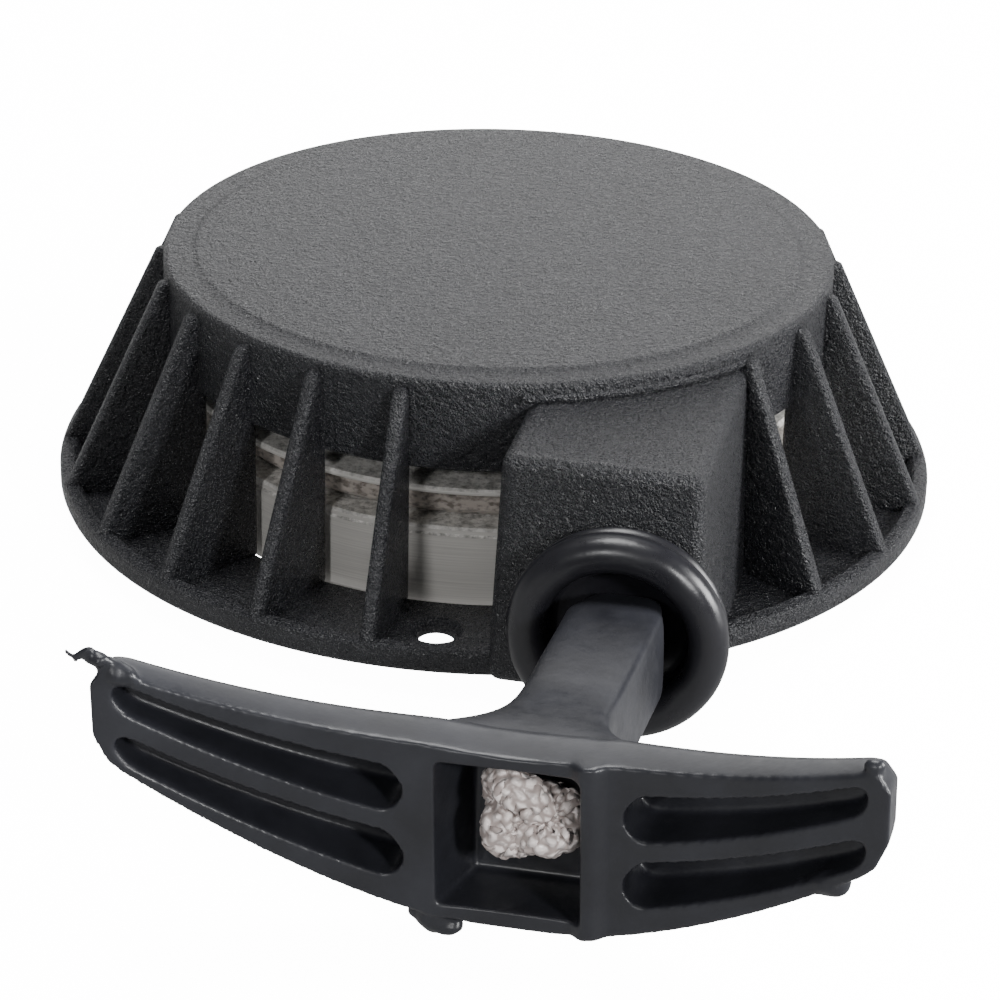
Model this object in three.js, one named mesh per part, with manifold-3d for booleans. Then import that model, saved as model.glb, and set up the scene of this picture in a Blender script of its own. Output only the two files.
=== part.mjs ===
// Recoil (pull) starter for a small two-stroke engine.
// Millimetres, +Z up. The origin is the centre of the mounting flange's underside, on the reel's axis.
// The rope runs out of the housing towards -Y, turned by guideTurn about Z.
import * as THREE from 'three';
import { mergeVertices } from 'three/addons/utils/BufferGeometryUtils.js';
import Module from 'manifold-3d';

const wasm = await Module();
wasm.setup();

const rad = THREE.MathUtils.degToRad;
const gap = 0.3;

// Housing: a cast dome with gusset ribs on a round flange
const flangeR = 60;
const flangeBoreR = 44.4;
const webZ = 1.8;
const rimW = 2.2;
const rimZ = 3.2;
const wallR = 45.2;
const wallT = 2;
const windowTopZ = 20.8;
const domeZ = 33.2;
const domeT = 2.5;
const crownR = 41;
const crownStep = 0.35;
const ribPitch = 15;
const ribT = 2;
const ribInnerR = 44;
const ribHeadR = 46.3;
const ribHeadZ = 31.6;
const ribFootR = 59.8;
const ribFootZ = 3.4;
const ribsLeftOut = [0, 15, 30];
const holeTurns = [-7.5, 112.5, 232.5];
const holePcdR = 52;
const holeR = 2.4;
const sinkR = 3.6;

// Centre post, spring bosses and the stack on the post
const postR = 6.8;
const postEndZ = 6.6;
const tapR = 3;
const tapTopZ = 22;
const bossR = 2.9;
const bossPcdR = 33;
const bossEndZ = 18.9;
const bossTapR = 1.5;

// Rope guide box, in the guide's own turned frame
const guideTurn = -12;
const guideX = 29.1;
const guideZ = 11;
const boxLeft = [12.2, 13.2];
const boxRight = [39.2, 38];
const boxFront = [60.2, 58.6];
const boxBackY = 22;
const boxTopZ = 30.4;
const boxWall = 2.4;

// Reel: rope drum and skirt in one casting
const reelR = 43;
const reelTopZ = 17.2;
const grooveTopZ = 14.6;
const grooveLowZ = 11.5;
const grooveFlare = { innerR: 37.4, outerR: 38.9, topZ: 16.3 };
const drumR = 27;
const skirtInnerR = 39.8;
const skirtEndZ = 0.2;
const webLowZ = 8.2;
const hubR = 11;
const hubTopZ = 28.6;
const boreR = 8.3;
const knotPocket = { turn: 60, r: 21, radius: 4.4, topZ: 12.6 };

// Recoil spring and its case
const caseR = 28.7;
const caseT = 1.1;
const caseTopZ = 30.4;
const caseEndZ = 18.9;
const coverR = 36.2;
const springIn = 12.4;
const springOut = 26.6;
const springTurns = 7.5;
const springT = 0.7;

// Rope
const ropeR = 1.45;
const coilR = 39.8;
const coilTopZ = 14.9;

// Guide bushing: a flared ring in the box's front wall
const lipR = 13.6;
const lipTube = 2.45;
const collarR = 13;
const sleeveR = 5.2;
const frontY = 60.2;
const lipY = 64;

// Handle, in its own frame: X along the bar, -Y towards the hand, Z up
const handlePlace = new THREE.Vector3(2.9, -118.5, 12.9);
const handleTilt = new THREE.Euler(rad(-2.3), rad(-2.2), rad(-14.6), 'ZXY');
const barHalf = 42.4;
const barShift = -1.6;
const barSweep = 6.6;
const barRise = 12;
const barArchX = 40;
const barDepth = 8.6;
const barTipDepth = 5.2;
const barMidH = 10.9;
const barEndH = 5.65;
const blockHalf = 9.2;
const ridge = { inner: 7.6, outer: 9.2, proud: 1.1, flank: 1.3 };
const pocketFront = { left: 9, right: 7.6 };
const pocketBack = { left: 6.6, right: 7 };
const pocketLowZ = -8.3;
const pocketTopZ = 8.9;
const pocketDepth = 8.8;
const stemHalf = 6;
const stemHalfH = 6.1;
const stemEnd = 53.3;
const slotInner = 12.2;
const slotEnds = { left: 41.8, right: 38.4 };

function merged(geometry) {
  const bare = geometry.clone();
  bare.deleteAttribute('normal');
  bare.deleteAttribute('uv');
  return mergeVertices(bare, 1e-4);
}

function solid(geometry) {
  const bare = merged(geometry);
  return new wasm.Manifold(new wasm.Mesh({
    numProp: 3,
    vertProperties: new Float32Array(bare.attributes.position.array),
    triVerts: new Uint32Array(bare.index.array),
  }));
}

function geometryOf(manifold) {
  const raw = manifold.getMesh();
  const geometry = new THREE.BufferGeometry();
  geometry.setAttribute('position', new THREE.BufferAttribute(raw.vertProperties, 3));
  geometry.setIndex(new THREE.BufferAttribute(raw.triVerts, 1));
  geometry.computeVertexNormals();
  return geometry;
}

const finishes = {
  crinkle: { color: 0x2b2c2f, roughness: 0.7, metalness: 0.1 },
  plastic: { color: 0x26272b, roughness: 0.45, metalness: 0 },
  gloss: { color: 0x141416, roughness: 0.18, metalness: 0 },
  aluminium: { color: 0xa9a69f, roughness: 0.45, metalness: 1 },
  steel: { color: 0x8f9194, roughness: 0.35, metalness: 1 },
  blued: { color: 0x3a3d45, roughness: 0.35, metalness: 1 },
  bronze: { color: 0x8c6a3f, roughness: 0.5, metalness: 1 },
  rope: { color: 0xbdb6b4, roughness: 0.8, metalness: 0 },
};

const starter = new THREE.Group();
const guide = new THREE.Group();
guide.rotation.z = rad(guideTurn);
const handleFrame = new THREE.Group();
handleFrame.position.copy(handlePlace);
handleFrame.rotation.copy(handleTilt);
starter.add(guide, handleFrame);

function addPiece(parent, name, shape, finish) {
  const geometry = shape.isBufferGeometry ? shape : geometryOf(shape);
  const mesh = new THREE.Mesh(geometry, new THREE.MeshStandardMaterial(finishes[finish]));
  mesh.name = name;
  parent.add(mesh);
  return mesh;
}

// A body turned about Z; points are [radius, height], and the outline closes on itself
function turned(points, segments = 72) {
  const outline = points.map(([r, z]) => new THREE.Vector2(r, z));
  outline.push(outline[0].clone());
  const area = THREE.ShapeUtils.area(outline);
  if (area < 0) outline.reverse();
  return new THREE.LatheGeometry(outline, segments).rotateX(Math.PI / 2);
}

function rod(radius, z0, z1, segments = 24) {
  const geometry = new THREE.CylinderGeometry(radius, radius, z1 - z0, segments);
  return geometry.rotateX(Math.PI / 2).translate(0, 0, (z0 + z1) / 2);
}

function ring(outer, inner, z0, z1, segments = 40) {
  return turned([[inner, z0], [outer, z0], [outer, z1], [inner, z1]], segments);
}

function atTurn(geometry, r, turn) {
  return geometry.translate(0, -r, 0).rotateZ(rad(turn));
}

// A box whose corners may differ between its bottom and its top: rows are [xMin, xMax, yMin, yMax]
function frustum(low, high, z0, z1) {
  const geometry = new THREE.BoxGeometry(1, 1, 1);
  const place = geometry.attributes.position;
  for (let i = 0; i < place.count; i += 1) {
    const row = place.getZ(i) < 0 ? low : high;
    const x = place.getX(i) < 0 ? row[0] : row[1];
    const y = place.getY(i) < 0 ? row[2] : row[3];
    place.setXYZ(i, x, y, place.getZ(i) < 0 ? z0 : z1);
  }
  return geometry;
}

function ribAt(turn) {
  const outline = new THREE.Shape([
    new THREE.Vector2(ribInnerR, webZ - 0.6),
    new THREE.Vector2(ribFootR, webZ - 0.6),
    new THREE.Vector2(ribFootR, ribFootZ),
    new THREE.Vector2(ribHeadR, ribHeadZ),
    new THREE.Vector2(ribInnerR, ribHeadZ),
  ]);
  const blade = new THREE.ExtrudeGeometry(outline, { depth: ribT, bevelEnabled: false });
  blade.rotateX(Math.PI / 2).translate(0, ribT / 2, 0);
  return blade.rotateZ(rad(turn - 90));
}

function makeHousing() {
  const domeLow = domeZ - domeT;
  let body = solid(turned([
    [0, domeLow], [wallR - wallT, domeLow], [wallR - wallT, windowTopZ], [wallR, windowTopZ],
    [wallR, domeZ - crownStep - 0.5], [wallR - 0.5, domeZ - crownStep], [crownR, domeZ - crownStep],
    [crownR - 0.3, domeZ], [0, domeZ],
  ], 72));
  body = body.add(solid(turned([
    [flangeBoreR, 0], [flangeR, 0], [flangeR, rimZ], [flangeR - rimW, rimZ],
    [flangeR - rimW - 0.6, webZ], [flangeBoreR, webZ],
  ], 72)));
  for (let turn = 0; turn < 360; turn += ribPitch) {
    if (!ribsLeftOut.includes(turn)) body = body.add(solid(ribAt(turn)));
  }
  body = body.add(solid(rod(postR, postEndZ, domeLow + 0.5, 40)));
  for (const turn of [60, 180, 300]) {
    const boss = atTurn(rod(bossR, bossEndZ, domeLow + 0.5, 20), bossPcdR, turn);
    const tap = atTurn(rod(bossTapR, bossEndZ - 1, bossEndZ + 7, 14), bossPcdR, turn);
    body = body.add(solid(boss)).subtract(solid(tap));
  }
  const turnedToGuide = (geometry) => solid(geometry.rotateZ(rad(guideTurn)));
  const shell = frustum(
    [boxLeft[0], boxRight[0], -boxFront[0], -boxBackY],
    [boxLeft[1], boxRight[1], -boxFront[1], -boxBackY],
    0,
    boxTopZ,
  );
  const hollow = frustum(
    [boxLeft[0] + boxWall, boxRight[0] - boxWall, -boxFront[0] + boxWall, -boxBackY + 9],
    [boxLeft[1] + boxWall, boxRight[1] - boxWall, -boxFront[1] + boxWall, -boxBackY + 9],
    -1,
    boxTopZ - boxWall,
  );
  const inside = solid(rod(wallR - wallT, -1, domeLow, 72)).subtract(solid(rod(postR, -2, domeZ, 40)));
  let bosses = inside;
  for (const turn of [60, 180, 300]) {
    bosses = bosses.subtract(solid(atTurn(rod(bossR, bossEndZ, domeZ, 20), bossPcdR, turn)));
  }
  body = body.add(turnedToGuide(shell)).subtract(turnedToGuide(hollow)).subtract(bosses);
  const sleeveHole = new THREE.CylinderGeometry(sleeveR + gap, sleeveR + gap, 12, 32);
  body = body.subtract(turnedToGuide(sleeveHole.translate(guideX, -frontY + 1, guideZ)));
  for (const turn of holeTurns) {
    body = body.subtract(solid(atTurn(rod(holeR, -1, webZ + 1, 20), holePcdR, turn)));
    const sink = turned([[0, webZ - 0.7], [sinkR - 0.9, webZ - 0.7], [sinkR + 0.1, webZ + 0.3], [0, webZ + 0.3]], 20);
    body = body.subtract(solid(atTurn(sink, holePcdR, turn)));
  }
  return body.subtract(solid(rod(tapR, postEndZ - 1, tapTopZ, 24)));
}

addPiece(starter, 'housing', makeHousing(), 'crinkle');

// Spring case, spring, cover and its screws
addPiece(starter, 'spring_case', turned([
  [hubR + 1, caseTopZ - caseT], [caseR - caseT, caseTopZ - caseT], [caseR - caseT, caseEndZ],
  [caseR, caseEndZ], [caseR, caseTopZ], [hubR + 1, caseTopZ],
], 60), 'blued');

function makeSpring() {
  const steps = 130;
  const outer = [];
  const inner = [];
  for (let i = 0; i <= steps; i += 1) {
    const t = i / steps;
    const turn = t * springTurns * 2 * Math.PI;
    const r = springIn + (springOut - springIn) * t;
    outer.push(new THREE.Vector2((r + springT / 2) * Math.cos(turn), (r + springT / 2) * Math.sin(turn)));
    inner.push(new THREE.Vector2((r - springT / 2) * Math.cos(turn), (r - springT / 2) * Math.sin(turn)));
  }
  const strip = new THREE.Shape([...outer, ...inner.reverse()]);
  const depth = caseTopZ - caseT - caseEndZ - 2 * gap;
  return new THREE.ExtrudeGeometry(strip, { depth, bevelEnabled: false }).translate(0, 0, caseEndZ + gap);
}

addPiece(starter, 'recoil_spring', makeSpring(), 'steel');

const coverTopZ = bossEndZ - gap;
const coverLowZ = coverTopZ - 0.8;

function makeCover() {
  let plate = solid(ring(coverR, hubR + 1, coverLowZ, coverTopZ, 60));
  for (const turn of [60, 180, 300]) {
    plate = plate.subtract(solid(atTurn(rod(bossTapR + 0.1, coverLowZ - 1, coverTopZ + 1, 14), bossPcdR, turn)));
  }
  return plate;
}

addPiece(starter, 'spring_cover', makeCover(), 'steel');

const coverHeadZ = coverLowZ - gap;
[60, 180, 300].forEach((turn, index) => {
  const screw = turned([
    [0, reelTopZ + 0.1], [2.2, reelTopZ + 0.1], [2.4, coverHeadZ], [bossTapR - gap, coverHeadZ],
    [bossTapR - gap, bossEndZ + 5], [0, bossEndZ + 5.6],
  ], 16);
  addPiece(starter, `cover_screw_${index + 1}`, atTurn(screw, bossPcdR, turn), 'steel');
});

// Reel, drive cup and rivets
function makeReel() {
  let reel = solid(turned([
    [boreR, webLowZ], [skirtInnerR, webLowZ], [skirtInnerR, skirtEndZ], [reelR, skirtEndZ],
    [reelR, grooveLowZ], [drumR, grooveLowZ], [drumR, grooveTopZ], [grooveFlare.innerR, grooveTopZ],
    [grooveFlare.outerR, grooveFlare.topZ], [reelR, grooveFlare.topZ],
    [reelR, reelTopZ - 0.4], [reelR - 0.4, reelTopZ], [coverR + 1.6, reelTopZ], [coverR + 1.2, reelTopZ - 1],
    [hubR, reelTopZ - 1], [hubR, hubTopZ], [boreR, hubTopZ],
  ], 60));
  const { turn, r, radius, topZ } = knotPocket;
  reel = reel.subtract(solid(atTurn(rod(radius, webLowZ - 1, topZ, 24), r, turn)));
  const feed = new THREE.CylinderGeometry(ropeR + 0.3, ropeR + 0.3, 10, 12).translate(0, -drumR + 1, 0);
  reel = reel.subtract(solid(feed.translate(0, 0, (grooveLowZ + grooveTopZ) / 2 - 0.2).rotateZ(rad(turn))));
  const hook = new THREE.BoxGeometry(1.4, 5, 12).translate(0, -hubR, hubTopZ - 4).rotateZ(rad(90));
  reel = reel.subtract(solid(hook));
  for (const rivetTurn of [0, 120, 240]) {
    reel = reel.subtract(solid(atTurn(rod(1.9, webLowZ - 1, webLowZ + 2.4, 14), 17, rivetTurn)));
  }
  return reel;
}

addPiece(starter, 'reel', makeReel(), 'aluminium');

const cupR = skirtInnerR - gap;
const cupTopZ = webLowZ - gap;
const cupPlateZ = cupTopZ - 1.4;

function makeDriveCup() {
  let cup = solid(turned([
    [13.4, cupPlateZ], [36.4, cupPlateZ], [36.4, 0.9], [cupR, 0.9], [cupR, cupTopZ], [13.4, cupTopZ],
  ], 60));
  const tooth = new THREE.Shape([
    new THREE.Vector2(0, 36.8), new THREE.Vector2(-7, 36.8), new THREE.Vector2(-1.2, 32.6), new THREE.Vector2(0, 32.6),
  ]);
  const height = cupPlateZ + 0.5 - 1.4;
  for (let turn = 0; turn < 360; turn += 60) {
    const lug = new THREE.ExtrudeGeometry(tooth, { depth: height, bevelEnabled: false });
    cup = cup.add(solid(lug.translate(0, 0, 1.4).rotateZ(rad(turn))));
  }
  for (const turn of [0, 120, 240]) {
    cup = cup.subtract(solid(atTurn(rod(1.9, 0, webLowZ, 14), 17, turn)));
    const pocket = atTurn(rod(knotPocket.radius, cupPlateZ - 1, webLowZ, 24), knotPocket.r, knotPocket.turn);
    cup = cup.subtract(solid(pocket));
  }
  return cup;
}

addPiece(starter, 'drive_cup', makeDriveCup(), 'steel');

[0, 120, 240].forEach((turn, index) => {
  const head = cupPlateZ - gap;
  const rivet = turned([
    [0, head - 1.2], [2, head - 1.2], [3, head - 0.4], [3, head], [1.6, head], [1.6, webLowZ + 2], [0, webLowZ + 2],
  ], 18);
  addPiece(starter, `cup_rivet_${index + 1}`, atTurn(rivet, 17, turn), 'aluminium');
});

// Stack on the post
addPiece(starter, 'reel_bush', ring(boreR - gap, postR + gap, webLowZ + 0.1, hubTopZ - 0.2, 36), 'bronze');
addPiece(starter, 'thrust_washer', ring(hubR - 0.6, postR + gap, hubTopZ + 0.4, hubTopZ + 1.2, 36), 'steel');

function makeWaveWasher() {
  const geometry = ring(hubR + 0.6, postR + gap, 0, 0.4, 48);
  const place = geometry.attributes.position;
  for (let i = 0; i < place.count; i += 1) {
    const turn = Math.atan2(place.getY(i), place.getX(i));
    place.setZ(i, place.getZ(i) + postEndZ + 0.55 + 0.3 * Math.cos(3 * turn));
  }
  return geometry;
}

addPiece(starter, 'wave_washer', makeWaveWasher(), 'steel');
const retainerTopZ = postEndZ - gap;
addPiece(starter, 'retaining_washer', ring(12.4, 3.3, retainerTopZ - 1.2, retainerTopZ, 40), 'steel');
const lockTopZ = retainerTopZ - 1.2 - gap;
addPiece(starter, 'lock_washer', ring(5.3, 3.3, lockTopZ - 0.9, lockTopZ, 28), 'blued');

const headTopZ = lockTopZ - 0.9 - gap;
const screwHead = solid(rod(5.4, headTopZ - 2.9, headTopZ, 6));
addPiece(starter, 'center_screw', screwHead.add(solid(rod(tapR - gap, headTopZ - 0.2, tapTopZ - 1, 20))), 'steel');

// Rope: what is wound on the drum, its stop knot in the reel, and the run out to the handle
addPiece(starter, 'rope_coil', turned([
  [drumR + gap, grooveLowZ + gap], [coilR - 0.9, grooveLowZ + gap], [coilR, grooveLowZ + 1.2],
  [coilR, coilTopZ - 0.8], [coilR - 0.6, coilTopZ], [coilR - 1.4, coilTopZ], [grooveFlare.innerR - 0.2, grooveTopZ - gap],
  [drumR + gap, grooveTopZ - gap],
], 60), 'rope');

const stopKnot = new THREE.SphereGeometry(3.4, 14, 10).scale(1, 1, 0.8);
addPiece(starter, 'reel_knot', atTurn(stopKnot.translate(0, 0, webLowZ + 1), knotPocket.r, knotPocket.turn), 'rope');

function handlePoint(x, y, z) {
  return new THREE.Vector3(x, y, z).applyEuler(handleTilt).add(handlePlace);
}

function guidePoint(x, y, z) {
  return new THREE.Vector3(x, y, z).applyAxisAngle(new THREE.Vector3(0, 0, 1), rad(guideTurn));
}

const ropeRoute = new THREE.CatmullRomCurve3([
  guidePoint(guideX, -33, guideZ),
  guidePoint(guideX, -42, guideZ),
  guidePoint(guideX, -52, guideZ),
  guidePoint(guideX, -60, guideZ),
  handlePoint(0, 47, 0),
  handlePoint(0, 34, 0),
  handlePoint(0, 20, 0),
  handlePoint(0, 11.2, 0),
]);
const ropeSection = new THREE.Shape().absarc(0, 0, ropeR, 0, 2 * Math.PI);
const ropeRun = new THREE.ExtrudeGeometry(ropeSection, { steps: 26, curveSegments: 8, extrudePath: ropeRoute });
addPiece(starter, 'rope_run', ropeRun, 'rope');

// Guide bushing and the clip behind the wall, turned about the guide's axis
function aboutGuide(points, segments = 40) {
  return turned(points, segments).rotateX(Math.PI / 2).translate(guideX, 0, guideZ);
}

const lipMidR = lipR - lipTube;
const lipArc = [];
for (let step = 0; step <= 6; step += 1) {
  const turn = rad(-50 + step * 44);
  lipArc.push([lipMidR + lipTube * Math.cos(turn), lipY + lipTube * Math.sin(turn)]);
}
addPiece(guide, 'guide_bushing', aboutGuide([
  [sleeveR, frontY - 7], [sleeveR, frontY + gap], [collarR, frontY + gap], [collarR, lipY - 1.9],
  ...lipArc,
  [8.6, lipY - 1.8], [8.4, frontY + 1], [2.6, frontY + 0.4], [2.6, frontY - 6.2], [3.2, frontY - 7],
]), 'gloss');
addPiece(guide, 'guide_clip', aboutGuide([
  [sleeveR + gap, frontY - boxWall - 2.4], [6.7, frontY - boxWall - 2.4],
  [6.7, frontY - boxWall - 1.6], [sleeveR + gap, frontY - boxWall - 1.6],
], 32), 'steel');

// Handle: a bar with arms that curve up and forward, on a stem that flares into it
function archAt(x) {
  return (x / barArchX) ** 2;
}

function armAt(x) {
  const tip = barHalf + Math.sign(x) * barShift;
  return Math.max(0, (Math.abs(x) - blockHalf) / (tip - blockHalf));
}

function barHeightAt(x) {
  return barMidH + (barEndH - barMidH) * armAt(x) ** 1.25;
}

// The bar's front, with an upright ridge beside the pocket
function barFrontAt(x) {
  const inside = (x - ridge.inner + ridge.flank) / ridge.flank;
  const outside = (ridge.outer + ridge.flank - x) / ridge.flank;
  return -barSweep * archAt(x) - ridge.proud * Math.min(1, Math.max(0, Math.min(inside, outside)));
}

// Stations along the bar, with one at each corner of the ridge
function barStations() {
  const left = -barHalf + barShift;
  const right = barHalf + barShift;
  const stations = [-blockHalf, -3, 2, ridge.inner - ridge.flank, ridge.inner, ridge.outer, ridge.outer + ridge.flank];
  for (let step = 0; step < 10; step += 1) {
    stations.push(left + (-blockHalf - left) * step / 10);
    stations.push(right + (ridge.outer + ridge.flank - right) * step / 10);
  }
  return stations.sort((a, b) => a - b);
}

function bar() {
  const stations = barStations();
  const geometry = new THREE.BoxGeometry(stations.length - 1, 1, 1, stations.length - 1, 2, 4);
  const place = geometry.attributes.position;
  for (let i = 0; i < place.count; i += 1) {
    const x = stations[Math.round(place.getX(i) + (stations.length - 1) / 2)];
    const across = place.getY(i) * 2;
    const up = place.getZ(i) * 2;
    const front = barFrontAt(x);
    const back = -barSweep * archAt(x) + barDepth + (barTipDepth - barDepth) * armAt(x);
    const roundOff = across > 0 ? 0.2 : 0.04;
    const height = barHeightAt(x) * (1 - roundOff * across * across * Math.abs(up));
    place.setXYZ(i, x, front + (back - front) * (across + 1) / 2, barRise * archAt(x) + up * height);
  }
  return geometry;
}

function stem() {
  const geometry = new THREE.BoxGeometry(1, 1, 1, 4, 20, 2);
  const place = geometry.attributes.position;
  for (let i = 0; i < place.count; i += 1) {
    const y = 2 + (place.getY(i) + 0.5) * (stemEnd - 2);
    const flare = Math.max(0, 1 - (y - 2) / 24) ** 3;
    const nose = Math.max(0, (y - stemEnd + 6) / 6);
    const across = place.getX(i) * 2;
    const up = place.getZ(i) * 2;
    const corner = across !== 0 && up !== 0 ? 1 - 0.1 * Math.abs(across) : 1;
    const x = across * (stemHalf + 15 * flare - 1.6 * nose) * corner;
    const near = Math.max(0, 1 - (y - 2) / 26);
    const blend = near * near * (3 - 2 * near);
    const tall = stemHalfH + (0.94 * barHeightAt(x) - stemHalfH) * blend - 1.2 * nose;
    place.setXYZ(i, x, y, barRise * archAt(x) * blend + up * tall * corner);
  }
  return geometry;
}

function slot(side, level) {
  const outer = side < 0 ? slotEnds.left : slotEnds.right;
  const length = outer - slotInner;
  const geometry = new THREE.BoxGeometry(length, 1, 1, 12, 1, 1);
  const place = geometry.attributes.position;
  for (let i = 0; i < place.count; i += 1) {
    const far = place.getX(i) * side / length + 0.5;
    const x = side * (slotInner + far * length);
    const tip = far < 0.01 || far > 0.99 ? 0.4 : 1;
    const front = -barSweep * archAt(x);
    place.setX(i, x);
    place.setY(i, place.getY(i) < 0 ? front - 2 : front + 5 - 2.4 * far);
    place.setZ(i, barRise * archAt(x) + level * (4 - 0.9 * far) + place.getZ(i) * tip * (5.4 - 2.4 * far));
  }
  return geometry;
}

function pocket() {
  const geometry = new THREE.BoxGeometry(1, 1, 1);
  const place = geometry.attributes.position;
  for (let i = 0; i < place.count; i += 1) {
    const front = place.getY(i) < 0;
    const half = front ? pocketFront : pocketBack;
    const x = place.getX(i) < 0 ? -half.left : half.right;
    place.setXYZ(i, x, front ? -2 : pocketDepth, place.getZ(i) < 0 ? pocketLowZ : pocketTopZ);
  }
  return geometry;
}

function makeHandle() {
  let handle = solid(bar()).add(solid(stem())).subtract(solid(pocket()));
  for (const side of [-1, 1]) {
    for (const level of [-1, 1]) handle = handle.subtract(solid(slot(side, level)));
  }
  const ropeHole = new THREE.CylinderGeometry(2.2, 2.2, stemEnd + 4, 16).translate(0, stemEnd / 2 + 4, 0);
  return handle.subtract(solid(ropeHole));
}

addPiece(handleFrame, 'handle_grip', makeHandle(), 'plastic');
const washer = ring(4.6, 1.9, 0, 0.8, 28).rotateX(-Math.PI / 2).translate(0, 7.6, 0);
addPiece(handleFrame, 'knot_washer', washer, 'steel');
const handleKnot = new THREE.SphereGeometry(5.9, 16, 12).scale(1, 0.68, 0.8).rotateY(rad(30));
addPiece(handleFrame, 'handle_knot', handleKnot.translate(1, 3.2, 2.4), 'rope');

export default starter;
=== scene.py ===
import bpy
import math
from mathutils import Matrix, Vector, noise


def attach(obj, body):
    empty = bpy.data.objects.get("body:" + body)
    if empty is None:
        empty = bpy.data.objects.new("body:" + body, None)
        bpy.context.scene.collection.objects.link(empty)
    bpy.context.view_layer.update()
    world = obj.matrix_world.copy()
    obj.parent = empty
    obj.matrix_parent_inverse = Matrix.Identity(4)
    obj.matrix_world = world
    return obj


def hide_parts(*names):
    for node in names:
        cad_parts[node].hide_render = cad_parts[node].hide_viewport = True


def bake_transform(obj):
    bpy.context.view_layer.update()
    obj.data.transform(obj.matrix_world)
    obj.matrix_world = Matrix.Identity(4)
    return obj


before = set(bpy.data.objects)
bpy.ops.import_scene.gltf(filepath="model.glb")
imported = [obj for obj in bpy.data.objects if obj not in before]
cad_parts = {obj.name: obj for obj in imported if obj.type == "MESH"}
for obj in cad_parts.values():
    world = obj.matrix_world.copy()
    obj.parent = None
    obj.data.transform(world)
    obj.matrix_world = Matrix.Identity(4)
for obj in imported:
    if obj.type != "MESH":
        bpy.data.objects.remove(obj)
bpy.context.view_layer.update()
mm = 0.001
print("starter: frame loaded,", len(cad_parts), "nodes")


def deselectAll():
    if bpy.context.object and bpy.context.object.mode != 'OBJECT':
        bpy.ops.object.mode_set(mode='OBJECT')
    bpy.ops.object.select_all(action='DESELECT')


def makeActive(piece):
    deselectAll()
    piece.select_set(True)
    bpy.context.view_layer.objects.active = piece


def newest(name):
    piece = bpy.context.object
    piece.name = name
    piece.data.name = name
    return piece


def settle(piece, place=None):
    if place is not None:
        piece.matrix_world = place @ piece.matrix_world
    makeActive(piece)
    bpy.ops.object.transform_apply(location=True, rotation=True, scale=True)
    return piece


def tidyShell(piece, distance=0.00001):
    makeActive(piece)
    bpy.ops.object.mode_set(mode='EDIT')
    bpy.ops.mesh.select_all(action='SELECT')
    bpy.ops.mesh.remove_doubles(threshold=distance)
    bpy.ops.mesh.normals_make_consistent(inside=False)
    bpy.ops.object.mode_set(mode='OBJECT')
    return piece


def spunPiece(name, outline, steps=144, turn=360):
    # a ring of vertices is laid on the outline in the XZ plane, then spun about Z
    deselectAll()
    bpy.ops.mesh.primitive_circle_add(vertices=len(outline), radius=1, fill_type='NOTHING')
    piece = newest(name)
    for vertex, (radius, height) in zip(piece.data.vertices, outline):
        vertex.co = (radius * mm, 0, height * mm)
    bpy.ops.object.mode_set(mode='EDIT')
    bpy.ops.mesh.select_all(action='SELECT')
    bpy.ops.mesh.spin(steps=steps, angle=math.radians(turn), center=(0, 0, 0), axis=(0, 0, 1))
    bpy.ops.object.mode_set(mode='OBJECT')
    return tidyShell(piece)


def platePiece(name, outline, thickness):
    # an outline in the XZ plane, filled and pushed out along Y, centred on Y = 0
    deselectAll()
    bpy.ops.mesh.primitive_circle_add(vertices=len(outline), radius=1, fill_type='NGON')
    piece = newest(name)
    for vertex, (along, height) in zip(piece.data.vertices, outline):
        vertex.co = (along * mm, -thickness / 2 * mm, height * mm)
    bpy.ops.object.mode_set(mode='EDIT')
    bpy.ops.mesh.select_all(action='SELECT')
    bpy.ops.mesh.extrude_region_move(TRANSFORM_OT_translate={"value": (0, thickness * mm, 0)})
    bpy.ops.object.mode_set(mode='OBJECT')
    return tidyShell(piece)


def blockPiece(name, low, high, z0, z1):
    # a cube whose bottom and top corners are put on [xMin, xMax, yMin, yMax]
    deselectAll()
    bpy.ops.mesh.primitive_cube_add(size=1)
    piece = newest(name)
    for vertex in piece.data.vertices:
        row = low if vertex.co.z < 0 else high
        x = row[0] if vertex.co.x < 0 else row[1]
        y = row[2] if vertex.co.y < 0 else row[3]
        vertex.co = (x * mm, y * mm, (z0 if vertex.co.z < 0 else z1) * mm)
    return piece


def rodPiece(name, radius, z0, z1, sides=48, place=(0, 0)):
    deselectAll()
    bpy.ops.mesh.primitive_cylinder_add(vertices=sides, radius=radius * mm, depth=(z1 - z0) * mm,
                                        location=(place[0] * mm, place[1] * mm, (z0 + z1) / 2 * mm))
    return settle(newest(name))


def withModifier(piece, kind, **values):
    makeActive(piece)
    modifier = piece.modifiers.new(kind.lower(), kind)
    for key, value in values.items():
        setattr(modifier, key, value)
    bpy.ops.object.modifier_apply(modifier=modifier.name)
    return piece


def cutWith(piece, tool, operation='DIFFERENCE'):
    withModifier(piece, 'BOOLEAN', object=tool, operation=operation, solver='EXACT')
    bpy.data.objects.remove(tool, do_unlink=True)
    return piece


def softEdges(piece, width, segments=2, angle=35):
    withModifier(piece, 'BEVEL', width=width * mm, segments=segments, limit_method='ANGLE',
                 angle_limit=math.radians(angle), use_clamp_overlap=True)
    return piece


def smoothBy(piece, angle=40):
    makeActive(piece)
    bpy.ops.object.shade_smooth_by_angle(angle=math.radians(angle))
    return piece


def joined(name, pieces):
    deselectAll()
    for piece in pieces:
        piece.select_set(True)
    bpy.context.view_layer.objects.active = pieces[0]
    bpy.ops.object.join()
    return newest(name)


def turnedCopy(piece, degrees):
    twin = piece.copy()
    twin.data = piece.data.copy()
    bpy.context.collection.objects.link(twin)
    twin.data.transform(Matrix.Rotation(math.radians(degrees), 4, 'Z'))
    return twin


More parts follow.
